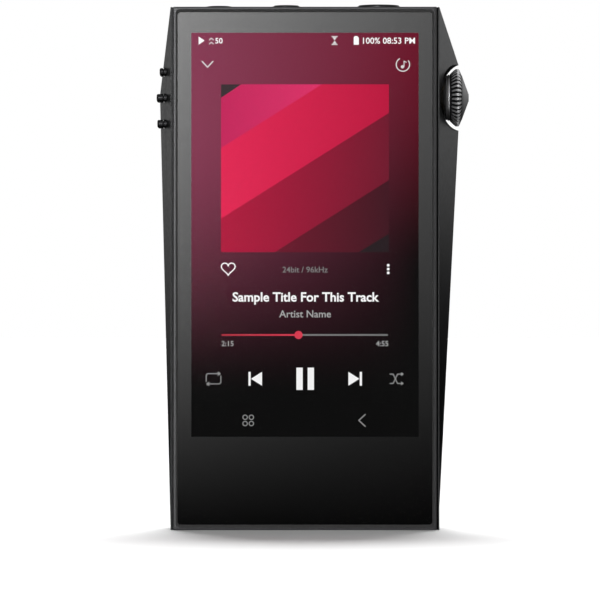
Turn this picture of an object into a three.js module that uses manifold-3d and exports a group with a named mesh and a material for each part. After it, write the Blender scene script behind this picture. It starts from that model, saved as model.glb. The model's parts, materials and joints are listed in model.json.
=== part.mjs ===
// A pocket-sized digital audio player, standing upright on its bottom edge.
// Millimetres. +X is the player's right side (the volume wheel), -Y its front (the screen), +Z up.
// The origin is in the middle of the flat bottom face.
import * as THREE from "three";
import { ConvexGeometry } from "three/addons/geometries/ConvexGeometry.js";
import { mergeVertices } from "three/addons/utils/BufferGeometryUtils.js";
import Module from "manifold-3d";

const wasm = await Module();
wasm.setup();

// ---------------------------------------------------------------- driving dimensions

const BODY_HEIGHT = 117.5;
const BODY_HALF_WIDTH = 30.2; // the plain block between the two faceted wings
const FRONT_Y = -9.15; // outer face of the cover glass
const BACK_Y = 9.15; // outer face of the back cover
const RIM_PROUD = 0.1; // how far both glasses stand out of their metal rims
const FIT = 0.05; // assembly gap between two fixed pieces

const SCREEN_WIDTH = 51.05; // active area of a 4.1 inch 16:9 panel
const SCREEN_HEIGHT = 90.76;
const SCREEN_CENTRE_Z = 66.3;

const RIDGE_Y = 1.2; // both side ridges run a little behind the middle of the depth
const WING_FRONT_Y = -7.9;
const WING_BACK_Y = 8.6;
const RIGHT_RIDGE_X = 34.77;
const LEFT_RIDGE_X = -32.83;
const LEFT_RIDGE_Z = 97.9;
const RIGHT_FACET_Z = 77.5; // where the lower right facet meets the front edge

const WHEEL_Z = 97.4;
const WHEEL_RADIUS = 6.5;
const WHEEL_TIP_X = 37.02;
const POCKET_RADIUS = 7.5;
const POCKET_LIP_X = 32.0; // the pocket's rear wall stands up to here behind the wheel
const POCKET_LIP_Y = 5.35;
const KNURLS = 36;
const KNURL_DEPTH = 0.32;
const HEADPHONE_PROUD = 0.76; // how far the top's pieces stand out of it
const BALANCED_PROUD = 0.8;
const POWER_PROUD = 0.6;
const SHAFT_RADIUS = 1.0;
const RUNNING_GAP = 0.08; // radial clearance of the wheel shaft

const BUTTON_PITCH = 5.85;
const BUTTON_HALF_LENGTH = 4.3; // along the player's depth
const BUTTON_HALF_HEIGHT = 0.875;
const BUTTON_PROUD = 0.65;
const BUTTON_GAP = 0.12;
const BUTTON_TRAVEL = 0.35;
const POWER_TRAVEL = 0.3;

const PORT_Y = 0.6; // the top sockets and the power button stand on this line
const HEADPHONE_X = -4.2;
const BALANCED_X = 16.7;
const POWER_X = -19.4;
const USB_Y = 2.8;
const CARD_X = -15.5;
const CARD_Y = 3.4;

// ---------------------------------------------------------------- derived planes

const WALL_X = BODY_HALF_WIDTH - 2.3; // inner face of the side walls
const FLOOR_Z = 2.4; // inner face of the bottom wall
const ROOF_Z = BODY_HEIGHT - 2.4; // inner face of the top wall
const SEAT_Y = -6.8; // shoulder that the front frame sits on
const RIM_FRONT_Y = FRONT_Y + RIM_PROUD;
const RIM_BACK_Y = BACK_Y - RIM_PROUD;
const GLASS_BACK_Y = FRONT_Y + 0.85;
const FRAME_LEDGE_Y = GLASS_BACK_Y + 0.2;
const BACK_LEDGE_Y = 8.0;
const BRACKET_BACK_Y = -4.7;
const BOARD_FRONT_Y = 4.4;
const BOARD_BACK_Y = 5.3;

// ---------------------------------------------------------------- materials

function finish(color, roughness, metalness) {
  return new THREE.MeshStandardMaterial({ color, roughness, metalness });
}

const materials = {
  bodyMetal: finish(0x2e2f30, 0.5, 0.9),
  rimMetal: finish(0x4a4b4c, 0.35, 0.95),
  blackGlass: finish(0x0b0b0c, 0.06, 0.0),
  gasket: finish(0x08080a, 0.9, 0.0),
  film: finish(0x20242a, 0.2, 0.0),
  screen: finish(0x7a1530, 0.25, 0.0),
  lightGuide: finish(0xe8e8e4, 0.6, 0.0),
  steel: finish(0xa8a9a8, 0.35, 1.0),
  brightMetal: finish(0xd8d8d8, 0.15, 1.0),
  darkMetal: finish(0x1b1b1c, 0.3, 0.9),
  blackPlastic: finish(0x131314, 0.5, 0.0),
  flex: finish(0x8a4b16, 0.5, 0.0),
  board: finish(0x10251c, 0.55, 0.0),
  cell: finish(0x26282b, 0.45, 0.0),
  chip: finish(0x18181a, 0.6, 0.0),
  gold: finish(0xc9a04a, 0.3, 1.0),
  sleeve: finish(0x2b3a66, 0.45, 0.0),
};

// ---------------------------------------------------------------- solids

// A closed three.js geometry as a manifold-3d solid.
function solid(geometry) {
  const bare = geometry.clone();
  bare.deleteAttribute("normal");
  bare.deleteAttribute("uv");
  const merged = mergeVertices(bare, 1e-4);
  return new wasm.Manifold(
    new wasm.Mesh({
      numProp: 3,
      vertProperties: new Float32Array(merged.attributes.position.array),
      triVerts: new Uint32Array(merged.index.array),
    }),
  );
}

// A manifold-3d solid as a three.js geometry.
function geometryOf(made) {
  const mesh = made.getMesh();
  const geometry = new THREE.BufferGeometry();
  geometry.setAttribute("position", new THREE.BufferAttribute(new Float32Array(mesh.vertProperties), 3));
  geometry.setIndex(new THREE.BufferAttribute(new Uint32Array(mesh.triVerts), 1));
  geometry.computeVertexNormals();
  return geometry;
}

// The first geometry with the second list joined on and the third list cut out.
function carve(base, joined, cut) {
  const whole = joined.reduce((made, piece) => made.add(solid(piece)), solid(base));
  return geometryOf(cut.reduce((made, piece) => made.subtract(solid(piece)), whole));
}

// A box from its low corner to its high corner.
function box(x0, y0, z0, x1, y1, z1) {
  const geometry = new THREE.BoxGeometry(x1 - x0, y1 - y0, z1 - z0);
  return geometry.translate((x0 + x1) / 2, (y0 + y1) / 2, (z0 + z1) / 2);
}

// A rectangle with round corners, centred on (cx, cy).
function roundedRectangle(cx, cy, halfWidth, halfHeight, radius) {
  const shape = new THREE.Shape();
  const [left, right] = [cx - halfWidth, cx + halfWidth];
  const [low, high] = [cy - halfHeight, cy + halfHeight];
  shape.moveTo(left + radius, low);
  shape.lineTo(right - radius, low);
  shape.absarc(right - radius, low + radius, radius, -Math.PI / 2, 0);
  shape.lineTo(right, high - radius);
  shape.absarc(right - radius, high - radius, radius, 0, Math.PI / 2);
  shape.lineTo(left + radius, high);
  shape.absarc(left + radius, high - radius, radius, Math.PI / 2, Math.PI);
  shape.lineTo(left, low + radius);
  shape.absarc(left + radius, low + radius, radius, Math.PI, Math.PI * 1.5);
  return shape;
}

function polygon(points) {
  return new THREE.Shape(points.map(([x, y]) => new THREE.Vector2(x, y)));
}

function extrude(shape, depth, curveSegments) {
  return new THREE.ExtrudeGeometry(shape, { depth, bevelEnabled: false, curveSegments });
}

// An outline in X and Z, extruded along Y: a plate parallel to the screen.
function plate(shape, y0, y1, curveSegments = 4) {
  return extrude(shape, y1 - y0, curveSegments)
    .rotateX(Math.PI / 2)
    .translate(0, y1, 0);
}

// An outline in X and Y, extruded along Z.
function column(shape, z0, z1, curveSegments = 6) {
  return extrude(shape, z1 - z0, curveSegments).translate(0, 0, z0);
}

// An outline in Y and Z, extruded along X.
function beam(shape, x0, x1, curveSegments = 6) {
  const turn = new THREE.Matrix4().makeBasis(
    new THREE.Vector3(0, 1, 0),
    new THREE.Vector3(0, 0, 1),
    new THREE.Vector3(1, 0, 0),
  );
  return extrude(shape, x1 - x0, curveSegments)
    .applyMatrix4(turn)
    .translate(x0, 0, 0);
}

// A solid of revolution about the Z axis line through (x, y), from [radius, height] points.
function turnedZ(profile, x, y, segments = 24) {
  const points = profile.map(([radius, height]) => new THREE.Vector2(radius, height));
  return new THREE.LatheGeometry(points, segments).rotateX(Math.PI / 2).translate(x, y, 0);
}

// The same about the Y axis line through (x, z).
function turnedY(profile, x, z, segments = 16) {
  const points = profile.map(([radius, height]) => new THREE.Vector2(radius, height));
  return new THREE.LatheGeometry(points, segments).translate(x, 0, z);
}

// The same about the wheel's axis, which runs along X at the wheel's height.
function turnedX(profile, segments = 36) {
  const points = profile.map(([radius, along]) => new THREE.Vector2(radius, along));
  return new THREE.LatheGeometry(points, segments).rotateZ(-Math.PI / 2).translate(0, 0, WHEEL_Z);
}

// [radius, height] outlines of a plain disc and of a ring, for the three functions above.
function discProfile(radius, low, high) {
  return [[0, low], [radius, low], [radius, high], [0, high]];
}

function ringProfile(inner, outer, low, high) {
  return [[inner, low], [outer, low], [outer, high], [inner, high], [inner, low]];
}

// A round hole or pin along Z, from z0 to z1.
function rodZ(radius, x, y, z0, z1, segments = 24) {
  return turnedZ(discProfile(radius, z0, z1), x, y, segments);
}

const player = new THREE.Group();

function addPart(name, geometry, material) {
  const mesh = new THREE.Mesh(geometry, material);
  mesh.name = name;
  player.add(mesh);
}

// ---------------------------------------------------------------- main housing

// A wing is the hull of its outer corners and of the same corners moved into the block.
function wing(corners) {
  const inward = corners.map(([x, y, z]) => [Math.sign(x) * (BODY_HALF_WIDTH - 1.2), y, z]);
  const points = [...corners, ...inward].map(([x, y, z]) => new THREE.Vector3(x, y, z));
  return new ConvexGeometry(points);
}

const ridgeReach = POCKET_RADIUS - 0.05; // the ridge's straight stretch is as long as the wheel pocket
const rightWing = wing([
  [BODY_HALF_WIDTH, WING_FRONT_Y, BODY_HEIGHT],
  [BODY_HALF_WIDTH, WING_BACK_Y, BODY_HEIGHT],
  [RIGHT_RIDGE_X, RIDGE_Y, WHEEL_Z + ridgeReach],
  [RIGHT_RIDGE_X, RIDGE_Y, WHEEL_Z - ridgeReach],
  [BODY_HALF_WIDTH, WING_FRONT_Y, RIGHT_FACET_Z],
  [BODY_HALF_WIDTH, WING_BACK_Y, RIGHT_FACET_Z],
  [BODY_HALF_WIDTH, RIDGE_Y, 0],
]);
const leftWing = wing([
  [-BODY_HALF_WIDTH, WING_FRONT_Y, BODY_HEIGHT],
  [-BODY_HALF_WIDTH, WING_BACK_Y, BODY_HEIGHT],
  [LEFT_RIDGE_X, RIDGE_Y, LEFT_RIDGE_Z],
  [-BODY_HALF_WIDTH, WING_FRONT_Y, 0],
  [-BODY_HALF_WIDTH, WING_BACK_Y, 0],
]);

const block = column(
  polygon([
    [-BODY_HALF_WIDTH, WING_FRONT_Y],
    [BODY_HALF_WIDTH, WING_FRONT_Y],
    [BODY_HALF_WIDTH, WING_BACK_Y],
    [BODY_HALF_WIDTH - 0.45, RIM_BACK_Y],
    [0.45 - BODY_HALF_WIDTH, RIM_BACK_Y],
    [-BODY_HALF_WIDTH, WING_BACK_Y],
  ]),
  0,
  BODY_HEIGHT,
);

const midZ = BODY_HEIGHT / 2;
const grooveX = BODY_HALF_WIDTH - 0.25; // outer wall of the shadow groove beside the front frame
const pocketFloorX = BODY_HALF_WIDTH;
const backPlateHalfWidth = 28.6;
const backPlateHalfHeight = midZ - 1.2;

// The cavity holds the electronics; the back ledge carries the back cover.
const cavity = box(-WALL_X, SEAT_Y - 0.5, FLOOR_Z, WALL_X, 7.0, ROOF_Z);
const frameRecess = box(-grooveX, FRONT_Y - 5, -5, grooveX, SEAT_Y, BODY_HEIGHT + 5);
const backOpening = box(-26.6, 6.5, 3.8, 26.6, BACK_LEDGE_Y + 0.5, BODY_HEIGHT - 3.8);
const backRecess = plate(
  roundedRectangle(0, midZ, backPlateHalfWidth + 0.3, backPlateHalfHeight + 0.3, 1.2),
  BACK_LEDGE_Y,
  BACK_Y + 5,
);
const wheelPocket = carve(
  turnedX(discProfile(POCKET_RADIUS, pocketFloorX, 45), 64),
  [],
  [box(pocketFloorX - 1, POCKET_LIP_Y, WHEEL_Z - 10, POCKET_LIP_X, BACK_Y, WHEEL_Z + 10)],
);
const bushingHole = turnedX(discProfile(3.6, WALL_X - 1, pocketFloorX + 1), 32);

const buttonZ = [1, 0, -1].map((step) => WHEEL_Z - 0.15 + step * BUTTON_PITCH);
const slotHalfHeight = BUTTON_HALF_HEIGHT + BUTTON_GAP;
function pill(centreZ, halfLength, halfHeight) {
  return roundedRectangle(0, centreZ, halfLength, halfHeight, halfHeight * 0.98);
}
const buttonSlots = buttonZ.map((z) =>
  beam(pill(z, BUTTON_HALF_LENGTH + BUTTON_GAP, slotHalfHeight), -45, -WALL_X + 1),
);

const usbOpening = column(roundedRectangle(0, USB_Y, 4.65, 1.75, 1.7), -5, FLOOR_Z + 1, 5);
const cardOpening = column(roundedRectangle(CARD_X, CARD_Y, 6.1, 0.75, 0.3), -5, FLOOR_Z + 1, 3);

// Collars sit in shallow counterbores in the top face; the socket noses pass through the wall.
const collarSeatZ = BODY_HEIGHT - 0.8;
const headphoneNoseRadius = 2.4;
const headphoneCollarRadius = 3.08;
const balancedNoseRadius = 3.6;
const balancedCollarRadius = 4.82;
const powerButtonRadius = 2.75;
const topHoles = [
  rodZ(headphoneNoseRadius + 0.1, HEADPHONE_X, PORT_Y, ROOF_Z - 1, BODY_HEIGHT + 1, 28),
  rodZ(headphoneCollarRadius + 0.1, HEADPHONE_X, PORT_Y, collarSeatZ, BODY_HEIGHT + 1, 40),
  rodZ(balancedNoseRadius + 0.1, BALANCED_X, PORT_Y, ROOF_Z - 1, BODY_HEIGHT + 1, 28),
  rodZ(balancedCollarRadius + 0.1, BALANCED_X, PORT_Y, collarSeatZ, BODY_HEIGHT + 1, 40),
  rodZ(powerButtonRadius + 0.12, POWER_X, PORT_Y, ROOF_Z - 1, BODY_HEIGHT + 1, 40),
];

// Four corner bosses take the display bracket's screws.
const bossX = 25.8;
const bossZ = [5.3, BODY_HEIGHT - 5.3];
const bossPlaces = bossZ.flatMap((z) => [[-bossX, z], [bossX, z]]);
function boss([x, z]) {
  const outerX = Math.sign(x) * (WALL_X + 0.5);
  const innerX = Math.sign(x) * (bossX - 2.2);
  const [low, high] = z < midZ ? [FLOOR_Z - 0.5, z + 2.6] : [z - 2.6, ROOF_Z + 0.5];
  return box(Math.min(outerX, innerX), BRACKET_BACK_Y, low, Math.max(outerX, innerX), 7.2, high);
}
const bossHoles = bossPlaces.map(([x, z]) =>
  turnedY(discProfile(0.9, BRACKET_BACK_Y - 1, 0.4), x, z, 16),
);

const openHousing = carve(
  block,
  [rightWing, leftWing],
  [frameRecess, cavity, backOpening, backRecess, wheelPocket, bushingHole],
);
addPart(
  "main_housing",
  carve(openHousing, bossPlaces.map(boss), [
    ...bossHoles,
    ...buttonSlots,
    ...topHoles,
    usbOpening,
    cardOpening,
  ]),
  materials.bodyMetal,
);

// ---------------------------------------------------------------- back cover

addPart(
  "back_cover",
  plate(
    roundedRectangle(0, midZ, backPlateHalfWidth, backPlateHalfHeight, 0.9),
    BACK_LEDGE_Y + 0.25,
    BACK_Y,
  ),
  materials.blackGlass,
);
addPart(
  "back_adhesive",
  carve(
    plate(roundedRectangle(0, midZ, 28.3, midZ - 1.5, 0.8), BACK_LEDGE_Y + FIT, BACK_LEDGE_Y + 0.2),
    [],
    [box(-26.9, 0, 4.1, 26.9, BACK_Y, BODY_HEIGHT - 4.1)],
  ),
  materials.gasket,
);

// ---------------------------------------------------------------- front frame and glass

const frameHalfWidth = 29.6;
const glassHalfWidth = 28.65;
const glassHalfHeight = midZ - 1.15;
const glassGap = 0.4; // the dark line between glass and rim
const windowHalfWidth = 27.1;
const windowHalfHeight = midZ - 2.8;

addPart(
  "front_frame",
  carve(
    box(-frameHalfWidth, RIM_FRONT_Y, 0, frameHalfWidth, SEAT_Y - 0.02, BODY_HEIGHT),
    [],
    [
      plate(
        roundedRectangle(0, midZ, glassHalfWidth + glassGap, glassHalfHeight + glassGap, 1.05),
        FRONT_Y - 3,
        FRAME_LEDGE_Y,
      ),
      plate(roundedRectangle(0, midZ, windowHalfWidth, windowHalfHeight, 0.5), FRONT_Y, SEAT_Y + 3),
    ],
  ),
  materials.rimMetal,
);
addPart(
  "cover_glass",
  plate(roundedRectangle(0, midZ, glassHalfWidth, glassHalfHeight, 0.75), FRONT_Y, GLASS_BACK_Y),
  materials.blackGlass,
);
// The gasket lies under the glass edge and fills the bottom of the dark line around it.
addPart(
  "glass_gasket",
  carve(
    plate(
      roundedRectangle(0, midZ, glassHalfWidth + 0.3, glassHalfHeight + 0.3, 0.95),
      GLASS_BACK_Y + 0.02,
      FRAME_LEDGE_Y - 0.02,
    ),
    [],
    [plate(roundedRectangle(0, midZ, windowHalfWidth + 0.2, windowHalfHeight + 0.2, 0.6), FRONT_Y, SEAT_Y)],
  ),
  materials.gasket,
);

// ---------------------------------------------------------------- display stack

const panelHalfWidth = SCREEN_WIDTH / 2 + 1.1;
const panelTopZ = SCREEN_CENTRE_Z + SCREEN_HEIGHT / 2 + 1.4;
const panelLowZ = SCREEN_CENTRE_Z - SCREEN_HEIGHT / 2 - 4.5; // the driver strip is below the picture
const sensorBackY = GLASS_BACK_Y + 0.22;
const panelBackY = sensorBackY + 1.25;
const lightBackY = panelBackY + 1.05;
const bracketFrontY = BRACKET_BACK_Y - 0.8;
const screwHeadRadius = 1.5;

addPart(
  "touch_sensor",
  box(-panelHalfWidth, GLASS_BACK_Y + 0.02, panelLowZ, panelHalfWidth, sensorBackY, panelTopZ),
  materials.film,
);
addPart(
  "display_panel",
  box(-panelHalfWidth, sensorBackY + FIT, panelLowZ, panelHalfWidth, panelBackY, panelTopZ),
  materials.screen,
);
addPart(
  "backlight_unit",
  box(-panelHalfWidth, panelBackY + FIT, panelLowZ, panelHalfWidth, lightBackY, panelTopZ),
  materials.lightGuide,
);

// A flat cable along a path in Y and Z: every stretch is straight and the corners are square.
function flatCable(path, x0, x1, thickness) {
  const half = thickness / 2;
  const stretches = path.slice(1).map(([y, z], i) => {
    const [y0, z0] = path[i];
    const low = [Math.min(y, y0) - half, Math.min(z, z0) - half];
    const high = [Math.max(y, y0) + half, Math.max(z, z0) + half];
    return box(x0, low[0], low[1], x1, high[0], high[1]);
  });
  return carve(stretches[0], stretches.slice(1), []);
}

const displayFlexY = sensorBackY + 0.7;
const displayFlexZ = 12.3;
addPart(
  "display_flex",
  flatCable(
    [[displayFlexY, panelLowZ - 0.3], [displayFlexY, displayFlexZ], [BOARD_FRONT_Y - 0.2, displayFlexZ]],
    -6,
    6,
    0.25,
  ),
  materials.flex,
);

const screwSink = discProfile(screwHeadRadius + 0.1, -9, bracketFrontY + 0.5);
addPart(
  "display_bracket",
  carve(
    plate(
      roundedRectangle(0, midZ, WALL_X - 0.3, midZ - FLOOR_Z - 0.3, 0.6),
      bracketFrontY,
      BRACKET_BACK_Y - 0.02,
    ),
    [],
    [
      box(-7, -9, displayFlexZ - 1.5, 7, 0, displayFlexZ + 1.5),
      box(-WALL_X, -9, buttonZ[2] - 2.5, -26.4, 0, buttonZ[0] + 2.5),
      ...bossPlaces.map(([x, z]) => turnedY(discProfile(0.95, -9, 0), x, z)),
      ...bossPlaces.map(([x, z]) => turnedY(screwSink, x, z)),
    ],
  ),
  materials.steel,
);

// A flat-headed screw along +Y with a driver slot.
function bracketScrew([x, z]) {
  const headY = bracketFrontY + 0.02;
  const underHeadY = headY + 0.45;
  const profile = [
    [0, headY],
    [screwHeadRadius, headY],
    [screwHeadRadius, underHeadY],
    [0.75, underHeadY],
    [0.75, -0.6],
    [0, -0.2],
  ];
  const slot = box(x - 1.1, headY - 1, z - 0.18, x + 1.1, headY + 0.22, z + 0.18);
  return carve(turnedY(profile, x, z), [], [slot]);
}
bossPlaces.forEach((place, i) => {
  addPart(`bracket_screw_${i + 1}`, bracketScrew(place), materials.steel);
});

// ---------------------------------------------------------------- battery and boards

const batteryHalfWidth = 25;
const batteryLowZ = 18;
const batteryHighZ = 80;
const batteryFrontY = -4.5;
const batteryBackY = 3.7;
const leadZ = 14.5; // where the battery's lead turns back to the main board
const boardSplitZ = 80.6;
addPart(
  "battery",
  plate(
    roundedRectangle(
      0,
      (batteryLowZ + batteryHighZ) / 2,
      batteryHalfWidth,
      (batteryHighZ - batteryLowZ) / 2,
      1.5,
    ),
    batteryFrontY,
    batteryBackY,
    3,
  ),
  materials.cell,
);
addPart(
  "battery_lead",
  flatCable([[0, batteryLowZ - 0.3], [0, leadZ], [BOARD_FRONT_Y - 0.2, leadZ]], 12, 17, 0.3),
  materials.flex,
);

// Both boards are narrow beside the corner bosses and wide between them.
const boardHalfWidth = 26.4;
const boardNeckHalfWidth = 22.4;
const mainBoardLowZ = FLOOR_Z + 0.4;
const bossTopZ = 9.0;
const bossLowZ = BODY_HEIGHT - bossTopZ;
function boardOutline(neckZ, shoulderZ, farZ) {
  const half = [
    [boardNeckHalfWidth, neckZ],
    [boardNeckHalfWidth, shoulderZ],
    [boardHalfWidth, shoulderZ],
    [boardHalfWidth, farZ],
  ];
  const mirrored = half.map(([x, z]) => [-x, z]).reverse();
  const outline = [...half, ...mirrored];
  return polygon(neckZ < farZ ? outline : outline.reverse());
}
addPart(
  "main_board",
  plate(boardOutline(mainBoardLowZ, bossTopZ, boardSplitZ - 0.5), BOARD_FRONT_Y, BOARD_BACK_Y),
  materials.board,
);
addPart(
  "audio_board",
  plate(boardOutline(ROOF_Z - 1.6, bossLowZ, boardSplitZ + 0.5), BOARD_FRONT_Y, BOARD_BACK_Y),
  materials.board,
);
addPart(
  "board_link_flex",
  box(-6, BOARD_BACK_Y + FIT, boardSplitZ - 3, 6, BOARD_BACK_Y + 0.35, boardSplitZ + 2.2),
  materials.flex,
);

// A pressed metal lid over a board's back face, open towards the board.
function shieldCan([x0, z0, x1, z1]) {
  const skin = 0.25;
  const rearY = BOARD_BACK_Y + 1.65;
  return carve(
    box(x0, BOARD_BACK_Y + FIT, z0, x1, rearY, z1),
    [],
    [box(x0 + skin, BOARD_BACK_Y - 1, z0 + skin, x1 - skin, rearY - skin, z1 - skin)],
  );
}
// Low and high corners of the two lids, in X and Z.
const processorLid = [-20, 30, 8, 62];
const audioLid = [-21, 84.5, 21, 101];
addPart("processor_shield", shieldCan(processorLid), materials.steel);
addPart("audio_shield", shieldCan(audioLid), materials.steel);

// A flat package on a board's back face, from its middle, half sizes and height.
function chip([cx, cz], [halfWidth, halfHeight], height) {
  const frontY = BOARD_BACK_Y + FIT;
  return box(cx - halfWidth, frontY, cz - halfHeight, cx + halfWidth, frontY + height, cz + halfHeight);
}
const processorX = (processorLid[0] + processorLid[2]) / 2 - 1;
addPart("processor_chip", chip([processorX, 50], [7, 7], 1.0), materials.chip);
addPart("memory_chip", chip([processorX, 36], [5.5, 4], 0.9), materials.chip);

// The converter chips and their clocks stand in mirrored pairs, one pair for each channel.
const converterX = 11;
const converterZ = (audioLid[1] + audioLid[3]) / 2 - 0.25;
const clockX = 8;
const clockZ = 104.5;
[-1, 1].forEach((side, i) => {
  const channel = ["left", "right"][i];
  const converter = chip([side * converterX, converterZ], [5, 5], 1.0);
  const clock = chip([side * clockX, clockZ], [1.6, 1.25], 0.9);
  addPart(`dac_chip_${channel}`, converter, materials.chip);
  addPart(`clock_oscillator_${i + 1}`, clock, materials.brightMetal);
});

const capacitorStartX = -19;
const capacitorPitch = 5.5;
const capacitorZ = 85.5;
const capacitorProfile = discProfile(2.2, -2.0, BOARD_FRONT_Y - FIT);
for (let i = 0; i < 4; i += 1) {
  addPart(
    `audio_capacitor_${i + 1}`,
    turnedY(capacitorProfile, capacitorStartX + i * capacitorPitch, capacitorZ, 20),
    materials.sleeve,
  );
}
addPart(
  "wireless_antenna",
  box(9, BOARD_FRONT_Y - 1.2, 3.4, 21, BOARD_FRONT_Y - FIT, 7.4),
  materials.gold,
);

// ---------------------------------------------------------------- bottom sockets

const usbMouthZ = 0.4;
const usbEndZ = 7.6;
const usbTongue = box(-3.35, USB_Y - 0.35, usbMouthZ + 1.0, 3.35, USB_Y + 0.35, usbEndZ);
addPart(
  "usb_c_socket",
  carve(
    column(roundedRectangle(0, USB_Y, 4.47, 1.55, 1.5), usbMouthZ, usbEndZ, 5),
    [],
    [column(roundedRectangle(0, USB_Y, 4.17, 1.28, 1.25), usbMouthZ - 1, usbEndZ - 0.4, 5)],
  ),
  materials.steel,
);
addPart(
  "usb_c_tongue",
  carve(usbTongue, [], [box(-5, -9, usbEndZ - 0.45, 5, 9, 20)]),
  materials.blackPlastic,
);
addPart(
  "card_socket",
  carve(
    box(CARD_X - 7, CARD_Y - 0.95, FLOOR_Z + 0.1, CARD_X + 7, BOARD_FRONT_Y - FIT, 17.2),
    [],
    [box(CARD_X - 5.7, CARD_Y - 0.55, 0, CARD_X + 5.7, CARD_Y + 0.45, 16.2)],
  ),
  materials.steel,
);

// ---------------------------------------------------------------- top sockets

// A socket body behind the top wall, with a round nose in the wall and a blind bore from the top.
function socketBody(x, halfWidth, halfDepth, lowZ, noseRadius, boreRadius) {
  const shoulderZ = ROOF_Z - 0.1;
  return carve(
    box(x - halfWidth, PORT_Y - halfDepth, lowZ, x + halfWidth, PORT_Y + halfDepth, shoulderZ),
    [rodZ(noseRadius, x, PORT_Y, shoulderZ - 1, collarSeatZ - FIT, 28)],
    [rodZ(boreRadius, x, PORT_Y, lowZ + 1.5, BODY_HEIGHT, 24)],
  );
}
// A bright ring around the socket's mouth, chamfered on its outer edge.
function collar(x, radius, boreRadius, proud) {
  const topZ = BODY_HEIGHT + proud;
  const profile = [
    [boreRadius, collarSeatZ],
    [radius, collarSeatZ],
    [radius, topZ - 0.3],
    [radius - 0.3, topZ],
    [boreRadius + 0.25, topZ],
    [boreRadius, topZ - 0.25],
    [boreRadius, collarSeatZ],
  ];
  return turnedZ(profile, x, PORT_Y, 40);
}
const headphoneBoreRadius = 1.8;
const balancedBoreRadius = 2.25;
addPart(
  "headphone_socket",
  socketBody(HEADPHONE_X, 3.4, 3.5, 101, headphoneNoseRadius, headphoneBoreRadius),
  materials.blackPlastic,
);
addPart(
  "headphone_collar",
  collar(HEADPHONE_X, headphoneCollarRadius, headphoneBoreRadius + FIT, HEADPHONE_PROUD),
  materials.darkMetal,
);
addPart(
  "balanced_socket",
  socketBody(BALANCED_X, 4.7, 3.6, 95, balancedNoseRadius, balancedBoreRadius),
  materials.blackPlastic,
);
addPart(
  "balanced_collar",
  collar(BALANCED_X, balancedCollarRadius, balancedBoreRadius + FIT, BALANCED_PROUD),
  materials.darkMetal,
);

// ---------------------------------------------------------------- power button

const powerTopZ = BODY_HEIGHT + POWER_PROUD;
const powerFlangeTopZ = ROOF_Z - 0.1;
const powerLowZ = powerFlangeTopZ - 0.6;
addPart(
  "power_button",
  turnedZ(
    [
      [0, powerLowZ],
      [3.4, powerLowZ],
      [3.4, powerFlangeTopZ],
      [powerButtonRadius, powerFlangeTopZ],
      [powerButtonRadius, powerTopZ - 0.25],
      [powerButtonRadius - 0.25, powerTopZ],
      [powerButtonRadius - 0.6, powerTopZ],
      [1.2, powerTopZ - 0.2],
      [0, powerTopZ - 0.25],
    ],
    POWER_X,
    PORT_Y,
    40,
  ),
  materials.darkMetal,
);
const SWITCH_HEIGHT = 1.5;
const powerSwitchTopZ = powerLowZ - POWER_TRAVEL - 0.15;
const powerSwitchLowZ = powerSwitchTopZ - SWITCH_HEIGHT;
const powerBoardTopZ = powerSwitchLowZ - FIT;
addPart(
  "power_switch",
  box(POWER_X - 1.8, PORT_Y - 1.8, powerSwitchLowZ, POWER_X + 1.8, PORT_Y + 1.8, powerSwitchTopZ),
  materials.steel,
);
const powerBoardLowZ = powerBoardTopZ - 0.65;
addPart(
  "power_switch_board",
  box(POWER_X - 2.9, PORT_Y - 2.6, powerBoardLowZ, POWER_X + 2.9, BOARD_FRONT_Y - FIT, powerBoardTopZ),
  materials.board,
);

// ---------------------------------------------------------------- side buttons

// The ridge's distance from the middle at a height on the left wing.
function leftRidgeX(z) {
  const share = z > LEFT_RIDGE_Z ? (BODY_HEIGHT - z) / (BODY_HEIGHT - LEFT_RIDGE_Z) : z / LEFT_RIDGE_Z;
  return THREE.MathUtils.lerp(-BODY_HALF_WIDTH, LEFT_RIDGE_X, share);
}
// A bar with a chamfered outer face and a flange that keeps it inside the wall.
function sideButton(z) {
  const tipX = leftRidgeX(z) - BUTTON_PROUD;
  const flangeX = -WALL_X + 0.1;
  const shoulder = 0.3;
  return carve(
    beam(pill(z, BUTTON_HALF_LENGTH, BUTTON_HALF_HEIGHT), tipX + shoulder, flangeX + 0.1),
    [
      beam(pill(z, BUTTON_HALF_LENGTH - 0.3, BUTTON_HALF_HEIGHT - 0.3), tipX, tipX + shoulder + 0.1),
      beam(pill(z, BUTTON_HALF_LENGTH + 0.7, BUTTON_HALF_HEIGHT + 0.6), flangeX, flangeX + 0.7),
    ],
    [],
  );
}
const sideSwitchX = -WALL_X + 0.8 + BUTTON_TRAVEL + 0.1;
const sideSwitchEndX = sideSwitchX + SWITCH_HEIGHT;
const sideBoardX = sideSwitchEndX + FIT;
["previous", "play", "next"].forEach((name, i) => {
  const z = buttonZ[i];
  addPart(`${name}_button`, sideButton(z), materials.darkMetal);
  addPart(`${name}_switch`, box(sideSwitchX, -1.8, z - 1.6, sideSwitchEndX, 1.8, z + 1.6), materials.steel);
});
addPart(
  "side_key_board",
  box(sideBoardX, -4.3, WHEEL_Z - 10, sideBoardX + 0.6, BOARD_FRONT_Y - FIT, WHEEL_Z + 9),
  materials.board,
);

// ---------------------------------------------------------------- volume wheel

const hubTipX = pocketFloorX + 0.25;
const hubBackX = 32.2;
const accentBackX = hubBackX + 0.5;
const rimStartX = accentBackX + FIT;
const rimEndX = 35.35;
const spigotRadius = 2.95;
const capSplitX = 33.3; // where the hub's spigot ends and the cap's begins
const shaftStartX = 22.9;
const shaftEndX = capSplitX + 1.4;
const shaftBoreRadius = SHAFT_RADIUS + 0.06;
const accentRadius = 5.15;

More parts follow.
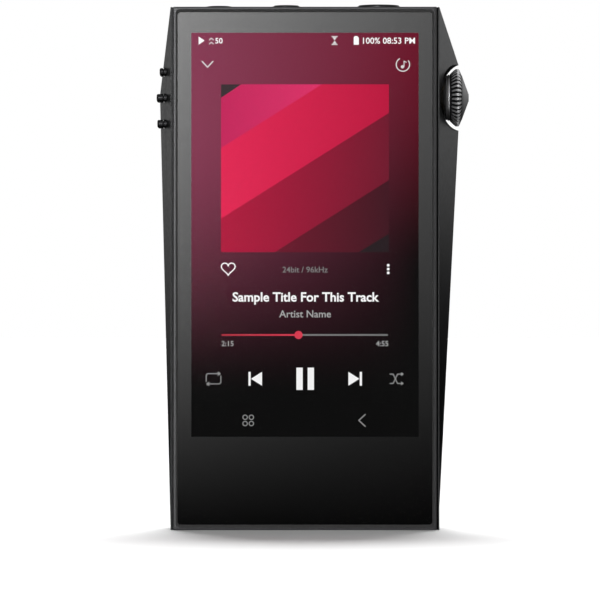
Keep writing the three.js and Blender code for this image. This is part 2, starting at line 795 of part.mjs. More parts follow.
addPart(
  "wheel_shaft",
  turnedX(discProfile(SHAFT_RADIUS, shaftStartX, shaftEndX), 24),
  materials.steel,
);
addPart(
  "wheel_hub",
  turnedX([
    [shaftBoreRadius, hubTipX],
    [shaftBoreRadius + 0.3, hubTipX],
    [shaftBoreRadius + 0.7, hubTipX + 0.5],
    [accentRadius - 1.05, hubBackX - 0.4],
    [accentRadius - 0.1, hubBackX - 0.35],
    [accentRadius - 0.1, hubBackX],
    [spigotRadius, hubBackX],
    [spigotRadius, capSplitX],
    [shaftBoreRadius, capSplitX],
    [shaftBoreRadius, hubTipX],
  ]),
  materials.darkMetal,
);
addPart(
  "wheel_accent_ring",
  turnedX(ringProfile(spigotRadius + FIT, accentRadius, hubBackX + 0.02, accentBackX)),
  materials.brightMetal,
);

// The knurled rim: every second generator line of the turned ring is sunk towards the axis.
function knurledRim() {
  const crest = WHEEL_RADIUS;
  const outline = [
    [spigotRadius + FIT, rimStartX],
    [accentRadius + 0.2, rimStartX],
    [crest - 0.86, rimStartX + 0.35],
    [crest - 0.38, rimStartX + 0.85],
    [crest - 0.04, rimStartX + 1.27],
    [crest, rimEndX - 1.05],
    [crest, rimEndX - 0.57],
    [5.3, rimEndX],
    [spigotRadius + FIT, rimEndX],
    [spigotRadius + FIT, rimStartX],
  ];
  const rim = new THREE.LatheGeometry(outline.map(([r, x]) => new THREE.Vector2(r, x)), KNURLS * 2);
  const place = rim.attributes.position;
  const valley = new THREE.Vector3();
  for (let i = 0; i < place.count; i += 1) {
    valley.fromBufferAttribute(place, i);
    const radius = Math.hypot(valley.x, valley.z);
    const step = Math.round((Math.atan2(valley.x, valley.z) / Math.PI) * KNURLS);
    if (radius > spigotRadius + 1 && Math.abs(step) % 2 === 1) {
      const sunk = (radius - KNURL_DEPTH) / radius;
      place.setXYZ(i, valley.x * sunk, valley.y, valley.z * sunk);
    }
  }
  return rim.rotateZ(-Math.PI / 2).translate(0, 0, WHEEL_Z);
}
addPart("wheel_rim", knurledRim(), materials.darkMetal);
addPart(
  "wheel_cap",
  turnedX([
    [0, shaftEndX + 0.1],
    [shaftBoreRadius, shaftEndX + 0.1],
    [shaftBoreRadius, capSplitX + FIT],
    [spigotRadius, capSplitX + FIT],
    [spigotRadius, rimEndX + 0.02],
    [5.15, rimEndX + 0.02],
    [1.1, WHEEL_TIP_X - 0.05],
    [0.95, WHEEL_TIP_X],
    [0, WHEEL_TIP_X],
  ]),
  materials.darkMetal,
);

// The bushing carries the shaft in the housing's wall; the encoder reads its turns.
addPart(
  "wheel_bushing",
  turnedX(ringProfile(SHAFT_RADIUS + RUNNING_GAP, 3.5, WALL_X + 0.1, pocketFloorX - 0.05), 24),
  materials.gold,
);
addPart(
  "volume_encoder",
  carve(
    box(22.4, -4.2, WHEEL_Z - 5.5, WALL_X - 0.1, 4.2, WHEEL_Z + 5.5),
    [],
    [turnedX(discProfile(SHAFT_RADIUS + RUNNING_GAP, shaftStartX - 0.1, WALL_X + 1), 24)],
  ),
  materials.blackPlastic,
);

export default player;
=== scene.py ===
"""The looks of a pocket digital audio player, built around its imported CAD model.

Metres, in the CAD model's frame: +X is the volume wheel's side, -Y the screen's side, +Z up.
Sizes below are in millimetres and are scaled by MM where they become geometry.
"""

import json
import math

import bmesh
import bpy
from mathutils import Matrix, Vector


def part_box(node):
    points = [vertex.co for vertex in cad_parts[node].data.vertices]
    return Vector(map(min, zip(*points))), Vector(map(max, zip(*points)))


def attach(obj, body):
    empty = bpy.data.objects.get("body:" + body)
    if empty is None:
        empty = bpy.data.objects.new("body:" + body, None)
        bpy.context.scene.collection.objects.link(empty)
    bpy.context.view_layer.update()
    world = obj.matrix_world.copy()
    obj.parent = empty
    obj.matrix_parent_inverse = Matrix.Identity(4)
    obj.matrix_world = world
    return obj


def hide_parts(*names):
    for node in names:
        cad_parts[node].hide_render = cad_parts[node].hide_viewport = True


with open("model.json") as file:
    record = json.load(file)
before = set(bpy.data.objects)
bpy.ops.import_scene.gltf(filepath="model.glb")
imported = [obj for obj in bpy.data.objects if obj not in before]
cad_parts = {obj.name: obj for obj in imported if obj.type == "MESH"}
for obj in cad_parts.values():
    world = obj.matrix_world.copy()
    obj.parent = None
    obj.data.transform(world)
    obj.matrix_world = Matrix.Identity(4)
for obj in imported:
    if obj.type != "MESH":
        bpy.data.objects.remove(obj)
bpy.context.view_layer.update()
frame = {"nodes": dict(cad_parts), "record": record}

MM = 0.001

# ---------------------------------------------------------------- places read from the frame


def node_box(node):
    """A CAD node's lowest and highest corners, in millimetres."""
    low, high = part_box(node)
    return low / MM, high / MM


body_high = node_box("main_housing")[1]
glass_low, glass_high = node_box("cover_glass")
frame_low, frame_high = node_box("front_frame")
back_low, back_high = node_box("back_cover")
gasket_low, gasket_high = node_box("glass_gasket")
rim_low, rim_high = node_box("wheel_rim")
hub_low, hub_high = node_box("wheel_hub")
ring_low, ring_high = node_box("wheel_accent_ring")
cap_low, cap_high = node_box("wheel_cap")

BODY_HEIGHT = body_high.z
GLASS_FRONT = glass_low.y
GLASS_BACK = glass_high.y
GLASS_CENTRE_Z = (glass_high.z + glass_low.z) / 2
GLASS_HALF_HEIGHT = (glass_high.z - glass_low.z) / 2
WHEEL_Z = (rim_low.z + rim_high.z) / 2
WHEEL_CENTRE = (0.0, WHEEL_Z)
WHEEL_RADIUS = (rim_high.z - rim_low.z) / 2

KNURLS = 40
KNURL_STEPS = 12
KNURL_DEPTH = 0.42

# The lit picture, 9 to 16.
SCREEN_HALF_WIDTH = 25.53
SCREEN_LOW = 20.92
SCREEN_HIGH = 111.68
SCREEN_CENTRE_Z = (SCREEN_LOW + SCREEN_HIGH) / 2
SCREEN_HALF_HEIGHT = (SCREEN_HIGH - SCREEN_LOW) / 2
INK_FRONT = GLASS_BACK + 0.004
PICTURE_Y = GLASS_BACK + 0.12  # the picture's backdrop; what lies on it is nearer the glass
ART_Y = PICTURE_Y - 0.03
ICON_Y = PICTURE_Y - 0.06

# ---------------------------------------------------------------- material helpers


def new_material(name):
    material = bpy.data.materials.new(name)
    material.use_nodes = True
    tree = material.node_tree
    return material, tree, tree.nodes["Principled BSDF"]


def object_point(tree, stretch=(1, 1, 1)):
    """The surface point in metres, with each axis stretched."""
    place = tree.nodes.new("ShaderNodeTexCoord")
    mapping = tree.nodes.new("ShaderNodeMapping")
    mapping.inputs["Scale"].default_value = stretch
    tree.links.new(place.outputs["Object"], mapping.inputs["Vector"])
    return mapping.outputs["Vector"]


def coordinates(tree):
    """The surface point's X, Y and Z, in metres."""
    split = tree.nodes.new("ShaderNodeSeparateXYZ")
    tree.links.new(object_point(tree), split.inputs[0])
    return split.outputs


def noise(tree, grain_mm, detail=3.0, stretch=(1, 1, 1)):
    """Noise with blobs of about grain_mm."""
    texture = tree.nodes.new("ShaderNodeTexNoise")
    texture.inputs["Scale"].default_value = 1 / (grain_mm * MM)
    texture.inputs["Detail"].default_value = detail
    tree.links.new(object_point(tree, stretch), texture.inputs["Vector"])
    return texture.outputs["Fac"]


def spread(tree, source, low, high, start=0.3, end=0.7):
    """source from start to end, mapped to the range low to high."""
    node = tree.nodes.new("ShaderNodeMapRange")
    node.inputs["From Min"].default_value = start
    node.inputs["From Max"].default_value = end
    node.inputs["To Min"].default_value = low
    node.inputs["To Max"].default_value = high
    tree.links.new(source, node.inputs["Value"])
    return node.outputs["Result"]


def maths(tree, operation, *values):
    """A Math node; each value is an output or a number."""
    node = tree.nodes.new("ShaderNodeMath")
    node.operation = operation
    for socket, value in zip(node.inputs, values):
        if isinstance(value, (int, float)):
            socket.default_value = value
        else:
            tree.links.new(value, socket)
    return node.outputs[0]


def blend_colours(tree, factor, first, second):
    """A colour mix; each of first and second is an output or an RGB tuple."""
    node = tree.nodes.new("ShaderNodeMix")
    node.data_type = "RGBA"
    tree.links.new(factor, node.inputs["Factor"])
    for name, value in (("A", first), ("B", second)):
        socket = [s for s in node.inputs if s.name == name and s.type == "RGBA"][0]
        if isinstance(value, tuple):
            socket.default_value = (*value, 1)
        else:
            tree.links.new(value, socket)
    return [s for s in node.outputs if s.type == "RGBA"][0]


def shades(colour, contrast):
    """A darker and a lighter version of a colour."""
    return tuple(c * (1 - contrast) for c in colour), tuple(c * (1 + contrast) for c in colour)


def bump(tree, shader, source, height_mm):
    node = tree.nodes.new("ShaderNodeBump")
    node.inputs["Distance"].default_value = height_mm * MM
    tree.links.new(source, node.inputs["Height"])
    tree.links.new(node.outputs["Normal"], shader.inputs["Normal"])


def surface(name, colour, metallic, roughness, grain_mm, height_mm, contrast=0.12, stretch=(1, 1, 1)):
    """A surface with fine grain in its height, and broader variation in colour and roughness."""
    material, tree, shader = new_material(name)
    shader.inputs["Metallic"].default_value = metallic
    broad = noise(tree, grain_mm * 5, 4.0, stretch)
    fine = noise(tree, grain_mm, 2.0, stretch)
    tree.links.new(blend_colours(tree, broad, *shades(colour, contrast)), shader.inputs["Base Color"])
    tree.links.new(spread(tree, broad, roughness * 0.88, roughness * 1.12), shader.inputs["Roughness"])
    bump(tree, shader, fine, height_mm)
    return material


def srgb(red, green, blue):
    """A display colour, 0 to 255, as linear light."""
    def linear(value):
        share = value / 255
        return share / 12.92 if share <= 0.04045 else ((share + 0.055) / 1.055) ** 2.4

    return linear(red), linear(green), linear(blue)


# ---------------------------------------------------------------- materials


def anodised_metal(name, colour, roughness, grain_mm=0.16):
    """Bead-blasted, dark anodised aluminium."""
    material = surface(name, colour, 1.0, roughness, grain_mm, 0.006, 0.16)
    material.node_tree.nodes["Principled BSDF"].inputs["Coat Weight"].default_value = 0.05
    return material


def turned_metal(name, colour, roughness):
    """Metal from the lathe, with fine rings across the wheel's axis."""
    material, tree, shader = new_material(name)
    shader.inputs["Metallic"].default_value = 1.0
    rings = noise(tree, 0.12, 2.0, (1, 0.02, 0.02))
    tree.links.new(blend_colours(tree, rings, *shades(colour, 0.15)), shader.inputs["Base Color"])
    tree.links.new(spread(tree, rings, roughness * 0.85, roughness * 1.2), shader.inputs["Roughness"])
    bump(tree, shader, rings, 0.003)
    return material


def knurl_with_painted_light(name, groove_shade_colour, land_light_colour, crest):
    """Black metal with painted shade in the knurl's grooves and painted light on the lands between them, cut
    bright along the crest.
    """
    material, tree, shader = new_material(name)
    shader.inputs["Metallic"].default_value = 0.4
    place = coordinates(tree)
    rise = maths(tree, "SUBTRACT", place["Z"], WHEEL_Z * MM)
    depth_squared = maths(tree, "MULTIPLY", place["Y"], place["Y"])
    radius = maths(tree, "SQRT", maths(tree, "MULTIPLY_ADD", rise, rise, depth_squared))
    turn = maths(tree, "ARCTAN2", rise, place["Y"])
    groove = maths(tree, "COSINE", maths(tree, "MULTIPLY", turn, KNURLS))
    # Lands against grooves by the angle around the axis: the pale lands are painted light, the black grooves
    # painted shade.
    raised = spread(tree, groove, 1.0, 0.0, -0.5, 0.1)
    outside = spread(tree, radius, 0.0, 1.0, 5.5 * MM, 5.8 * MM)
    along = spread(tree, place["X"], 0.0, 1.0, (rim_high.x - 1.1) * MM, (rim_high.x - 0.85) * MM)
    outermost = spread(tree, radius, 0.0, 1.0, (WHEEL_RADIUS - 0.3) * MM, (WHEEL_RADIUS - 0.15) * MM)
    edge = maths(tree, "MULTIPLY", along, outermost)
    painted_land_light = blend_colours(tree, maths(tree, "MULTIPLY", raised, outside), groove_shade_colour, land_light_colour)
    tree.links.new(blend_colours(tree, edge, painted_land_light, crest), shader.inputs["Base Color"])
    tree.links.new(spread(tree, edge, 0.36, 0.2, 0.0, 1.0), shader.inputs["Roughness"])
    bump(tree, shader, noise(tree, 0.1), 0.002)
    return material


def pane_glass(name, ior):
    """Clear glass that lets light straight through, with fine smudges in its gloss."""
    material, tree, shader = new_material(name)
    tree.nodes.remove(shader)
    clear = tree.nodes.new("ShaderNodeBsdfTransparent")
    gloss = tree.nodes.new("ShaderNodeBsdfGlossy")
    tree.links.new(spread(tree, noise(tree, 7.0, 5.0), 0.01, 0.05, 0.45, 0.8), gloss.inputs["Roughness"])
    fresnel = tree.nodes.new("ShaderNodeFresnel")
    fresnel.inputs["IOR"].default_value = ior
    mix = tree.nodes.new("ShaderNodeMixShader")
    tree.links.new(fresnel.outputs[0], mix.inputs[0])
    tree.links.new(clear.outputs[0], mix.inputs[1])
    tree.links.new(gloss.outputs[0], mix.inputs[2])
    tree.links.new(mix.outputs[0], tree.nodes["Material Output"].inputs["Surface"])
    return material


def gloss_black(name, colour, ior, smudge=0.06):
    """Polished black ink or lacquer under a hard surface."""
    material, tree, shader = new_material(name)
    shader.inputs["IOR"].default_value = ior
    smears = noise(tree, 9.0, 5.0)
    tree.links.new(blend_colours(tree, smears, *shades(colour, 0.1)), shader.inputs["Base Color"])
    tree.links.new(spread(tree, smears, 0.02, 0.02 + smudge, 0.45, 0.8), shader.inputs["Roughness"])
    bump(tree, shader, noise(tree, 20.0, 1.0), 0.001)
    return material


def pixel_grid(tree):
    """1 on a display pixel and a little less between pixels."""
    pitch = 0.071 * MM
    texture = tree.nodes.new("ShaderNodeTexBrick")
    texture.offset = 0.0
    texture.inputs["Scale"].default_value = 1 / pitch
    texture.inputs["Color1"].default_value = (1, 1, 1, 1)
    texture.inputs["Color2"].default_value = (1, 1, 1, 1)
    texture.inputs["Mortar"].default_value = (0.9, 0.9, 0.9, 1)
    texture.inputs["Mortar Size"].default_value = 0.06
    texture.inputs["Brick Width"].default_value = 1.0
    texture.inputs["Row Height"].default_value = 1.0
    place = tree.nodes.new("ShaderNodeTexCoord")
    turn = tree.nodes.new("ShaderNodeMapping")
    turn.inputs["Rotation"].default_value = (-math.pi / 2, 0, 0)
    tree.links.new(place.outputs["Object"], turn.inputs["Vector"])
    tree.links.new(turn.outputs["Vector"], texture.inputs["Vector"])
    return texture.outputs["Color"]


def lit(name, colour_of, paint=0.004):
    """A lit part of the picture. colour_of(tree) gives its colour output."""
    material, tree, shader = new_material(name)
    shader.inputs["Base Color"].default_value = (paint, paint, paint, 1)
    shader.inputs["IOR"].default_value = 1.04
    shader.inputs["Emission Strength"].default_value = 1.0
    tree.links.new(spread(tree, noise(tree, 9.0, 5.0), 0.02, 0.06, 0.45, 0.8), shader.inputs["Roughness"])
    node = tree.nodes.new("ShaderNodeMix")
    node.data_type = "RGBA"
    node.blend_type = "MULTIPLY"
    node.inputs["Factor"].default_value = 1.0
    first, second = [s for s in node.inputs if s.type == "RGBA"]
    tree.links.new(colour_of(tree), first)
    tree.links.new(pixel_grid(tree), second)
    tree.links.new([s for s in node.outputs if s.type == "RGBA"][0], shader.inputs["Emission Color"])
    return material


def share_along(tree, axis, start_mm, end_mm):
    """0 where the coordinate is start_mm and 1 where it is end_mm."""
    return spread(tree, coordinates(tree)[axis], 0.0, 1.0, start_mm * MM, end_mm * MM)


def colour_stops(tree, factor, stops, interpolation="LINEAR"):
    node = tree.nodes.new("ShaderNodeValToRGB")
    band = node.color_ramp
    band.interpolation = interpolation
    while len(band.elements) < len(stops):
        band.elements.new(0.5)
    for element, (place, colour) in zip(band.elements, stops):
        element.position = place
        element.color = (*colour, 1)
    tree.links.new(factor, node.inputs[0])
    return node.outputs[0]


def between(first, second, axis, start_mm, end_mm):
    """A colour_of that runs from one colour to another along an axis."""
    def colour_of(tree):
        return colour_stops(tree, share_along(tree, axis, start_mm, end_mm), [(0, first), (1, second)])

    return colour_of


def backdrop_colour(tree):
    """The picture's backdrop: wine red at the top, fading to black, brighter on the left."""
    height = share_along(tree, "Z", SCREEN_LOW, SCREEN_HIGH)
    across = share_along(tree, "X", -SCREEN_HALF_WIDTH, SCREEN_HALF_WIDTH)
    foot = srgb(8, 8, 8)
    left = colour_stops(tree, height, [(0.1, foot), (0.8, srgb(135, 60, 85))], "EASE")
    right = colour_stops(tree, height, [(0.4, foot), (1.0, srgb(105, 20, 40))], "EASE")
    return blend_colours(tree, across, left, right)


def lit_mark(name, low_grey, high_grey):
    """Lettering and signs, a little brighter towards the top of the picture."""
    low, high = srgb(low_grey, low_grey, low_grey), srgb(high_grey, high_grey, high_grey)
    return lit(name, between(low, high, "Z", 30, SCREEN_HIGH), 0.12)


def build_materials():
    """One material for each of the record's slots, and those of the lit picture."""
    return {
        "housing_metal": anodised_metal("housing_metal", (0.045, 0.0455, 0.0465), 0.4),
        "rim_metal": anodised_metal("rim_metal", (0.078, 0.078, 0.08), 0.36, 0.1),
        "cover_glass": pane_glass("cover_glass", 1.05),
        "ink": gloss_black("ink", (0.0035, 0.0035, 0.0035), 1.6, 0.02),
        "back_glass": gloss_black("back_glass", (0.006, 0.006, 0.007), 1.5),
        "gasket": surface("gasket", (0.035, 0.035, 0.035), 0.0, 0.8, 0.2, 0.01),
        "glass_bead": surface("glass_bead", (0.045, 0.045, 0.045), 0.0, 0.7, 0.2, 0.004),
        # deep_black is used only by the sheet in the groove on the wheel's side: painted shade.
        "deep_black": surface("deep_black", (0.001, 0.001, 0.001), 0.0, 0.95, 0.2, 0.01),
        "screen": surface("screen", (0.01, 0.01, 0.012), 0.0, 0.3, 0.5, 0.001),
        "film": surface("film", (0.02, 0.02, 0.025), 0.0, 0.25, 0.5, 0.001),
        "light_guide": surface("light_guide", (0.8, 0.8, 0.78), 0.0, 0.5, 0.3, 0.002),
        "steel": surface("steel", (0.5, 0.5, 0.5), 1.0, 0.32, 0.1, 0.002, 0.1, (1, 1, 0.05)),
        "hub_metal": surface("hub_metal", (0.13, 0.13, 0.132), 0.3, 0.4, 0.1, 0.002),
        "wheel_metal": turned_metal("wheel_metal", (0.08, 0.08, 0.082), 0.38),
        # The knurl's groove colour is painted shade and its land colour painted light.
        "knurl_metal": knurl_with_painted_light(
            "knurl_metal", (0.012, 0.012, 0.012), (0.42, 0.42, 0.425), (0.85, 0.85, 0.86)
        ),
        "accent_metal": turned_metal("accent_metal", (0.95, 0.95, 0.96), 0.3),
        "button_metal": surface("button_metal", (0.05, 0.05, 0.052), 1.0, 0.34, 0.08, 0.002),
        "collar_metal": turned_metal("collar_metal", (0.07, 0.07, 0.072), 0.3),
        "shaft_steel": turned_metal("shaft_steel", (0.5, 0.5, 0.5), 0.25),
        "bushing_brass": turned_metal("bushing_brass", (0.3, 0.22, 0.1), 0.4),
        "black_plastic": surface("black_plastic", (0.014, 0.014, 0.014), 0.0, 0.45, 0.1, 0.004),
        "circuit_board": surface("circuit_board", (0.012, 0.06, 0.03), 0.0, 0.35, 0.3, 0.004, 0.25),
        "flex_film": surface("flex_film", (0.35, 0.15, 0.04), 0.0, 0.35, 0.3, 0.002),
        "battery_cell": surface("battery_cell", (0.05, 0.05, 0.055), 0.4, 0.35, 0.8, 0.01),
        "chip_resin": surface("chip_resin", (0.02, 0.02, 0.022), 0.0, 0.5, 0.08, 0.003),
        "capacitor_sleeve": surface("capacitor_sleeve", (0.06, 0.08, 0.2), 0.0, 0.3, 0.3, 0.002),
        "plated_metal": surface("plated_metal", (0.8, 0.62, 0.25), 1.0, 0.25, 0.1, 0.002),
        "backdrop": lit("backdrop", backdrop_colour),
        "white_light": lit_mark("white_light", 235, 250),
        "grey_light": lit_mark("grey_light", 130, 215),
        "dim_light": lit_mark("dim_light", 88, 125),
        "red_light": lit("red_light", between(srgb(170, 20, 44), srgb(214, 42, 70), "X", -19, 0), 0.05),
    }


materials = build_materials()

# ---------------------------------------------------------------- mesh helpers


def sharpen(bm, angle):
    """Smooth faces, with the edges over angle kept sharp."""
    for face in bm.faces:
        face.smooth = True
    for edge in bm.edges:
        edge.smooth = len(edge.link_faces) == 2 and edge.calc_face_angle(0) < math.radians(angle)


def finished(name, bm, material, body, replaced=(), angle=28, bevel_mm=0.0):
    """The bmesh as a piece that rides on a body."""
    bmesh.ops.recalc_face_normals(bm, faces=bm.faces)
    sharpen(bm, angle)
    mesh = bpy.data.meshes.new(name)
    bm.to_mesh(mesh)
    bm.free()
    mesh.materials.append(materials[material])
    piece = bpy.data.objects.new(name, mesh)
    bpy.context.scene.collection.objects.link(piece)
    if bevel_mm:
        add_bevel(piece, bevel_mm, angle)
    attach(piece, body)
    if replaced:
        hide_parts(*replaced)
    return piece


def add_bevel(piece, width_mm, angle):
    modifier = piece.modifiers.new("edge", "BEVEL")
    modifier.width = width_mm * MM
    modifier.segments = 2
    modifier.limit_method = "ANGLE"
    modifier.angle_limit = math.radians(angle)
    modifier.harden_normals = True
    modifier.use_clamp_overlap = True


def rounded_loop(half_width, half_height, radius, y, centre_z, steps=6):
    """A rectangle with round corners, parallel to the screen."""
    points = []
    for quarter, (side, rise) in enumerate(((1, 1), (-1, 1), (-1, -1), (1, -1))):
        x = side * (half_width - radius)
        z = centre_z + rise * (half_height - radius)
        for i in range(steps + 1):
            angle = math.radians(90 * (quarter + i / steps))
            points.append((x + radius * math.cos(angle), y, z + radius * math.sin(angle)))
    return points


def circle_loop(radius, along, axis, centre, steps=48):
    """A circle across an axis. centre holds the other two coordinates, in X, Y, Z order."""
    points = []
    for i in range(steps):
        angle = 2 * math.pi * i / steps
        u, v = centre[0] + radius * math.cos(angle), centre[1] + radius * math.sin(angle)
        points.append((along, u, v) if axis == "X" else (u, v, along))
    return points


def skin(bm, loops, ring=False):
    """Quads between loops of equal length. ring joins the last loop to the first, and without it
    both end loops are closed by a face."""
    rows = [[bm.verts.new(Vector(p) * MM) for p in loop] for loop in loops]
    pairs = list(zip(rows, rows[1:])) + ([(rows[-1], rows[0])] if ring else [])
    for first, second in pairs:
        for i in range(len(first)):
            j = (i + 1) % len(first)
            bm.faces.new((first[i], first[j], second[j], second[i]))
    if not ring:
        bm.faces.new(rows[0])
        bm.faces.new(rows[-1])


def turned(profile, axis, centre, ring=False, steps=48):
    """A bmesh of revolution from [radius, along] points. A profile that starts or ends on the
    axis is closed there by a small flat."""
    bm = bmesh.new()
    smallest = 0.02
    loops = [circle_loop(max(r, smallest), along, axis, centre, steps) for r, along in profile]
    skin(bm, loops, ring)
    return bm


def arc(centre_r, centre_a, radius, start, end, steps=5):
    """Profile points on an arc, angles in degrees from the radial direction."""
    points = []
    for i in range(steps + 1):
        angle = math.radians(start + (end - start) * i / steps)
        points.append((centre_r + radius * math.cos(angle), centre_a + radius * math.sin(angle)))
    return points


# ---------------------------------------------------------------- housing


def cad_copy(node):
    """A CAD node's mesh as a bmesh with shared points and whole flat faces."""
    bm = bmesh.new()
    bm.from_mesh(frame["nodes"][node].data)
    bmesh.ops.remove_doubles(bm, verts=bm.verts, dist=0.001 * MM)
    bmesh.ops.dissolve_limit(
        bm, angle_limit=math.radians(0.6), verts=bm.verts, edges=bm.edges, use_dissolve_boundaries=False
    )
    return bm


def make_housing():
    finished(
        "housing_shell", cad_copy("main_housing"), "housing_metal", "player_body",
        ["main_housing"], angle=20, bevel_mm=0.07,
    )


# ---------------------------------------------------------------- front and back


def make_front_rim():
    """The metal frame around the glass: a small chamfer outside, and a ledge under the glass."""
    half_width, half_height = frame_high.x, BODY_HEIGHT / 2
    centre_z = BODY_HEIGHT / 2
    front, seat = frame_low.y, frame_high.y
    ledge = gasket_high.y + 0.02
    chamfer = 0.14
    rim_width = 0.55
    window_inset = half_width - 27.1
    window_drop = 2.8
    section = [
        (0.0, 0.25, seat),
        (0.0, 0.25, front + chamfer),
        (chamfer * 0.55, 0.3, front + chamfer * 0.2),
        (chamfer, 0.35, front),
        (rim_width, 1.05, front),
        (rim_width + 0.06, 1.05, front + 0.08),
        (rim_width + 0.06, 1.05, ledge),
        (window_inset, 0.5, ledge),
        (window_inset, 0.5, seat),
    ]
    bm = bmesh.new()
    loops = []
    for inset, radius, y in section:
        # The window's top and bottom edges lie further in than its sides.
        drop = window_drop if inset == window_inset else inset
        loops.append(rounded_loop(half_width - inset, half_height - drop, radius, y, centre_z))
    skin(bm, loops, ring=True)
    finished("front_rim", bm, "rim_metal", "player_body", ["front_frame"], angle=25)


def slab_loops(half_width, half_height, radius, front, back, centre_z, edge):
    """A plate with rounded front edges and small rear ones."""
    loops = [rounded_loop(half_width - edge, half_height - edge, radius - edge * 0.5, front, centre_z)]
    for degrees in (30, 60, 90):
        turn = math.radians(degrees)
        inset = edge * (1 - math.sin(turn))
        y = front + (back - front) * 0.42 * (1 - math.cos(turn))
        loops.append(rounded_loop(half_width - inset, half_height - inset, radius, y, centre_z))
    loops.append(rounded_loop(half_width, half_height, radius, back - (back - front) * 0.1, centre_z))
    loops.append(rounded_loop(half_width - 0.06, half_height - 0.06, radius, back, centre_z))
    return loops


def make_cover_glass():
    bm = bmesh.new()
    skin(bm, slab_loops(
        glass_high.x, GLASS_HALF_HEIGHT, 0.75, GLASS_FRONT, GLASS_BACK, GLASS_CENTRE_Z, 0.25
    ))
    finished("glass_pane", bm, "cover_glass", "player_body", ["cover_glass"])


def make_glass_bead():
    """The sealing bead that fills the gap between the glass and the rim."""
    inset, clearance = 0.6, 0.01
    outer = (frame_high.x - inset, BODY_HEIGHT / 2 - inset, 1.0)
    inner = (glass_high.x + clearance, GLASS_HALF_HEIGHT + clearance, 0.76)
    front, back = GLASS_FRONT + 0.22, gasket_low.y - clearance
    bm = bmesh.new()
    skin(bm, [
        rounded_loop(*outer, front, BODY_HEIGHT / 2),
        rounded_loop(*inner, front + 0.04, GLASS_CENTRE_Z),
        rounded_loop(*inner, back, GLASS_CENTRE_Z),
        rounded_loop(*outer, back, BODY_HEIGHT / 2),
    ], ring=True)
    finished("glass_bead", bm, "glass_bead", "player_body")


def make_ink():
    """The black print on the back of the glass, around the picture."""
    thickness, margin = 0.012, 0.04
    outer = (glass_high.x - margin, GLASS_HALF_HEIGHT - margin, 0.72)
    inner = (SCREEN_HALF_WIDTH, SCREEN_HALF_HEIGHT, 0.12)
    bm = bmesh.new()
    skin(bm, [
        rounded_loop(*outer, INK_FRONT, GLASS_CENTRE_Z),
        rounded_loop(*inner, INK_FRONT, SCREEN_CENTRE_Z),
        rounded_loop(*inner, INK_FRONT + thickness, SCREEN_CENTRE_Z),
        rounded_loop(*outer, INK_FRONT + thickness, GLASS_CENTRE_Z),
    ], ring=True)
    finished("border_print", bm, "ink", "player_body")


def make_back_plate():
    half_height = (back_high.z - back_low.z) / 2
    centre_z = (back_high.z + back_low.z) / 2
    bm = bmesh.new()
    skin(bm, slab_loops(back_high.x, half_height, 0.9, back_high.y, back_low.y, centre_z, 0.2))
    finished("back_plate", bm, "back_glass", "player_body", ["back_cover"])


def make_groove_shade_sheet():
    """A black sheet at the bottom of the shadow groove on the wheel's side: painted shade, that keeps the
    groove black all along.
    """
    inner, outer = frame_high.x + 0.02, frame_high.x + 0.33
    bottom = frame_high.y
    bm = bmesh.new()
    outline = [(inner, 0.1), (outer, 0.1), (outer, BODY_HEIGHT - 0.1), (inner, BODY_HEIGHT - 0.1)]
    skin(bm, [[(x, y, z) for x, z in outline] for y in (bottom - 0.2, bottom + 0.01)])
    # The sheet is painted shade at the bottom of the groove.
    finished("groove_painted_shade", bm, "deep_black", "player_body")


# ---------------------------------------------------------------- volume wheel


def make_wheel_hub():
    """The inner cone, with a narrow flange at its base."""
    x0, x1 = hub_low.x, ring_low.x - 0.02
    radius = hub_high.y
    flange_x = x1 - 0.35
    profile = [
        (1.06, x0),
        (1.36, x0),
        (1.76, x0 + 0.5),
        (radius - 0.95, flange_x - 0.05),
        (radius - 0.9, flange_x),
        (radius - 0.05, flange_x),
        (radius, flange_x + 0.05),
        (radius, x1 - 0.05),
        (radius - 0.05, x1),
        (2.95, x1),
        (2.95, hub_high.x),
        (1.06, hub_high.x),
    ]
    bm = turned(profile, "X", WHEEL_CENTRE, ring=True, steps=96)
    finished("wheel_inner_cone", bm, "hub_metal", "volume_wheel", ["wheel_hub"], bevel_mm=0.03)


def make_accent_ring():
    x0, x1 = ring_low.x, ring_high.x
    outer = ring_high.y
    middle = (x0 + x1) / 2
    half = (x1 - x0) / 2
    crown = arc(outer - half * 0.7, middle, half * 0.98, -60, 60, 8)
    profile = [(3.0, x0 + 0.02), *crown, (3.0, x1 - 0.02)]
    bm = turned(profile, "X", WHEEL_CENTRE, ring=True, steps=128)
    finished("wheel_bright_ring", bm, "accent_metal", "volume_wheel", ["wheel_accent_ring"])


def knurl_radius(step, crest, depth):
    """The radius around the rim: flat lands and round-bottomed grooves."""
    phase = (step % KNURL_STEPS) / KNURL_STEPS
    groove = max(0.0, math.cos(2 * math.pi * phase))
    return crest - depth * groove ** 0.7


